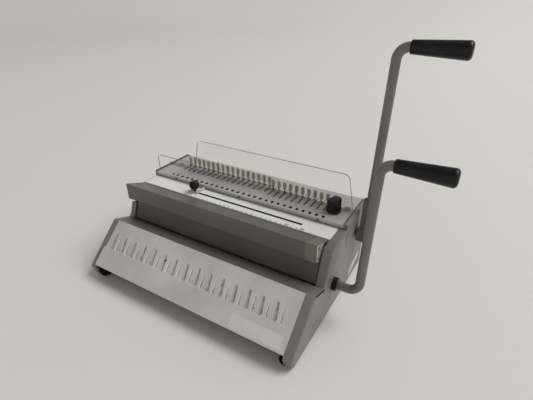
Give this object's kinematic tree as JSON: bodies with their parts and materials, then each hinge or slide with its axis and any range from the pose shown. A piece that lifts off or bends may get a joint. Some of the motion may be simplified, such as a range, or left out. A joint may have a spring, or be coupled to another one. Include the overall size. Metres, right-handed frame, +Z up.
{
  "type": "wire binding machine",
  "caption": "Desk-top wire binding machine with a punching lever, a closing lever, a sloping ribbed front panel, pull slides for the punches and a clear paper guard.",
  "frame": {"origin": "middle of the overall box at desk level", "axes": "+Z up, +X to the right where the levers are, +Y to the back; the sheets go in from the front, which is -Y"},
  "size_m": [0.617, 0.3005, 0.4318],
  "materials": {
    "body_grey": "satin texture paint",
    "beam_grey": "satin paint",
    "panel_white": "satin paint",
    "table_white": "satin paint",
    "cover_beige": "satin paint",
    "lever_grey": "satin paint",
    "dark_sheet": "matte",
    "steel": "brushed",
    "tool_steel": "ground",
    "slide_beige": "matte",
    "stop_grey": "matte",
    "end_olive": "satin",
    "black_plastic": "fine grain",
    "black_rubber": "matte",
    "clear": "clear"
  },
  "bodies": {
    "body": {"left_cheek": "body_grey", "right_cheek": "body_grey", "base_plate": "dark_sheet", "rear_cover": "body_grey", "front_panel": "panel_white", "closing_shelf": "beam_grey", "feet": "black_rubber", "paper_table": "table_white", "bed_plate": "steel", "die_plate": "steel", "punch_cover": "cover_beige", "idle_punches": "tool_steel", "clear_guard": "clear", "guard_clips": "stop_grey", "shaft_bushes": "black_plastic"},
    "closing_handle": {"closing_shaft": "steel", "closing_lever": "lever_grey", "closing_grip": "black_plastic"},
    "closing_jaw": {"closing_beam": "beam_grey", "beam_end_block": "end_olive", "closing_racks": "steel"},
    "punch_handle": {"punch_shaft": "steel", "punch_hub": "body_grey", "punch_lever": "lever_grey", "punch_grip": "black_plastic"},
    "ram": {"punch_ram": "steel", "punch_racks": "steel", "working_punches": "tool_steel"},
    "margin_dial": {"margin_knob": "black_plastic"},
    "margin_bar": {"margin_stop": "steel"},
    "stop_carriage": {"side_stop": "stop_grey"},
    "stop_clamp": {"stop_knob": "black_plastic"},
    "slide_1": {"pull_slide_1": "slide_beige"},
    "slide_2": {"pull_slide_2": "slide_beige"},
    "slide_3": {"pull_slide_3": "slide_beige"},
    "slide_4": {"pull_slide_4": "slide_beige"},
    "slide_5": {"pull_slide_5": "slide_beige"},
    "slide_6": {"pull_slide_6": "slide_beige"},
    "slide_7": {"pull_slide_7": "slide_beige"},
    "slide_8": {"pull_slide_8": "slide_beige"},
    "slide_9": {"pull_slide_9": "slide_beige"},
    "slide_10": {"pull_slide_10": "slide_beige"},
    "slide_11": {"pull_slide_11": "slide_beige"},
    "slide_12": {"pull_slide_12": "slide_beige"},
    "slide_13": {"pull_slide_13": "slide_beige"},
    "slide_14": {"pull_slide_14": "slide_beige"},
    "slide_15": {"pull_slide_15": "slide_beige"},
    "slide_16": {"pull_slide_16": "slide_beige"},
    "slide_17": {"pull_slide_17": "slide_beige"},
    "slide_18": {"pull_slide_18": "slide_beige"},
    "slide_19": {"pull_slide_19": "slide_beige"},
    "slide_20": {"pull_slide_20": "slide_beige"},
    "slide_21": {"pull_slide_21": "slide_beige"},
    "slide_22": {"pull_slide_22": "slide_beige"},
    "slide_23": {"pull_slide_23": "slide_beige"},
    "slide_24": {"pull_slide_24": "slide_beige"},
    "slide_25": {"pull_slide_25": "slide_beige"},
    "slide_26": {"pull_slide_26": "slide_beige"},
    "slide_27": {"pull_slide_27": "slide_beige"},
    "slide_28": {"pull_slide_28": "slide_beige"}
  },
  "joints": [
    {"name": "closing_lever_turn", "type": "hinge", "parent": "body", "child": "closing_handle", "pos_m": [-0.053, -0.00212, 0.0622], "axis": [1, 0, 0], "range_deg": [0, 85.94]},
    {"name": "jaw_slide", "type": "slide", "parent": "body", "child": "closing_jaw", "axis": [0, -0.342, -0.9397], "range_m": [0, 0.03]},
    {"name": "punch_lever_turn", "type": "hinge", "parent": "body", "child": "punch_handle", "pos_m": [-0.053, 0.09848, 0.107], "axis": [1, 0, 0], "range_deg": [0, 55]},
    {"name": "ram_slide", "type": "slide", "parent": "body", "child": "ram", "axis": [0, 0, 1], "range_m": [0, 0.0096]},
    {"name": "margin_turn", "type": "hinge", "parent": "body", "child": "margin_dial", "pos_m": [0.12695, 0.07798, 0.15], "axis": [0, 0, 1], "range_deg": [-45, 45]},
    {"name": "margin_slide", "type": "slide", "parent": "body", "child": "margin_bar", "axis": [0, 1, 0], "range_m": [-0.00236, 0.00236]},
    {"name": "side_stop_slide", "type": "slide", "parent": "body", "child": "stop_carriage", "axis": [1, 0, 0], "range_m": [-0.003, 0.226]},
    {"name": "stop_clamp_turn", "type": "hinge", "parent": "stop_carriage", "child": "stop_clamp", "pos_m": [-0.143, 0.02398, 0.145], "axis": [0, 0, 1], "range_deg": [0, 180]},
    {"name": "slide_1_pull", "type": "slide", "parent": "body", "child": "slide_1", "axis": [0, -1, 0], "range_m": [0, 0.008]},
    {"name": "slide_2_pull", "type": "slide", "parent": "body", "child": "slide_2", "axis": [0, -1, 0], "range_m": [0, 0.008]},
    {"name": "slide_3_pull", "type": "slide", "parent": "body", "child": "slide_3", "axis": [0, -1, 0], "range_m": [0, 0.008]},
    {"name": "slide_4_pull", "type": "slide", "parent": "body", "child": "slide_4", "axis": [0, -1, 0], "range_m": [0, 0.008]},
    {"name": "slide_5_pull", "type": "slide", "parent": "body", "child": "slide_5", "axis": [0, -1, 0], "range_m": [0, 0.008]},
    {"name": "slide_6_pull", "type": "slide", "parent": "body", "child": "slide_6", "axis": [0, -1, 0], "range_m": [0, 0.008]},
    {"name": "slide_7_pull", "type": "slide", "parent": "body", "child": "slide_7", "axis": [0, -1, 0], "range_m": [0, 0.008]},
    {"name": "slide_8_pull", "type": "slide", "parent": "body", "child": "slide_8", "axis": [0, -1, 0], "range_m": [0, 0.008]},
    {"name": "slide_9_pull", "type": "slide", "parent": "body", "child": "slide_9", "axis": [0, -1, 0], "range_m": [0, 0.008]},
    {"name": "slide_10_pull", "type": "slide", "parent": "body", "child": "slide_10", "axis": [0, -1, 0], "range_m": [0, 0.008]},
    {"name": "slide_11_pull", "type": "slide", "parent": "body", "child": "slide_11", "axis": [0, -1, 0], "range_m": [0, 0.008]},
    {"name": "slide_12_pull", "type": "slide", "parent": "body", "child": "slide_12", "axis": [0, -1, 0], "range_m": [0, 0.008]},
    {"name": "slide_13_pull", "type": "slide", "parent": "body", "child": "slide_13", "axis": [0, -1, 0], "range_m": [0, 0.008]},
    {"name": "slide_14_pull", "type": "slide", "parent": "body", "child": "slide_14", "axis": [0, -1, 0], "range_m": [0, 0.008]},
    {"name": "slide_15_pull", "type": "slide", "parent": "body", "child": "slide_15", "axis": [0, -1, 0], "range_m": [0, 0.008]},
    {"name": "slide_16_pull", "type": "slide", "parent": "body", "child": "slide_16", "axis": [0, -1, 0], "range_m": [0, 0.008]},
    {"name": "slide_17_pull", "type": "slide", "parent": "body", "child": "slide_17", "axis": [0, -1, 0], "range_m": [0, 0.008]},
    {"name": "slide_18_pull", "type": "slide", "parent": "body", "child": "slide_18", "axis": [0, -1, 0], "range_m": [-0.008, 0]},
    {"name": "slide_19_pull", "type": "slide", "parent": "body", "child": "slide_19", "axis": [0, -1, 0], "range_m": [-0.008, 0]},
    {"name": "slide_20_pull", "type": "slide", "parent": "body", "child": "slide_20", "axis": [0, -1, 0], "range_m": [-0.008, 0]},
    {"name": "slide_21_pull", "type": "slide", "parent": "body", "child": "slide_21", "axis": [0, -1, 0], "range_m": [-0.008, 0]},
    {"name": "slide_22_pull", "type": "slide", "parent": "body", "child": "slide_22", "axis": [0, -1, 0], "range_m": [-0.008, 0]},
    {"name": "slide_23_pull", "type": "slide", "parent": "body", "child": "slide_23", "axis": [0, -1, 0], "range_m": [-0.008, 0]},
    {"name": "slide_24_pull", "type": "slide", "parent": "body", "child": "slide_24", "axis": [0, -1, 0], "range_m": [-0.008, 0]},
    {"name": "slide_25_pull", "type": "slide", "parent": "body", "child": "slide_25", "axis": [0, -1, 0], "range_m": [-0.008, 0]},
    {"name": "slide_26_pull", "type": "slide", "parent": "body", "child": "slide_26", "axis": [0, -1, 0], "range_m": [-0.008, 0]},
    {"name": "slide_27_pull", "type": "slide", "parent": "body", "child": "slide_27", "axis": [0, -1, 0], "range_m": [-0.008, 0]},
    {"name": "slide_28_pull", "type": "slide", "parent": "body", "child": "slide_28", "axis": [0, -1, 0], "range_m": [-0.008, 0]}
  ],
  "couplings": [
    {"joint": "jaw_slide", "follows": "closing_lever_turn", "m_per_rad": 0.02},
    {"joint": "ram_slide", "follows": "punch_lever_turn", "m_per_rad": 0.01},
    {"joint": "margin_turn", "follows": "margin_slide", "rad_per_m": 333.33}
  ]
}
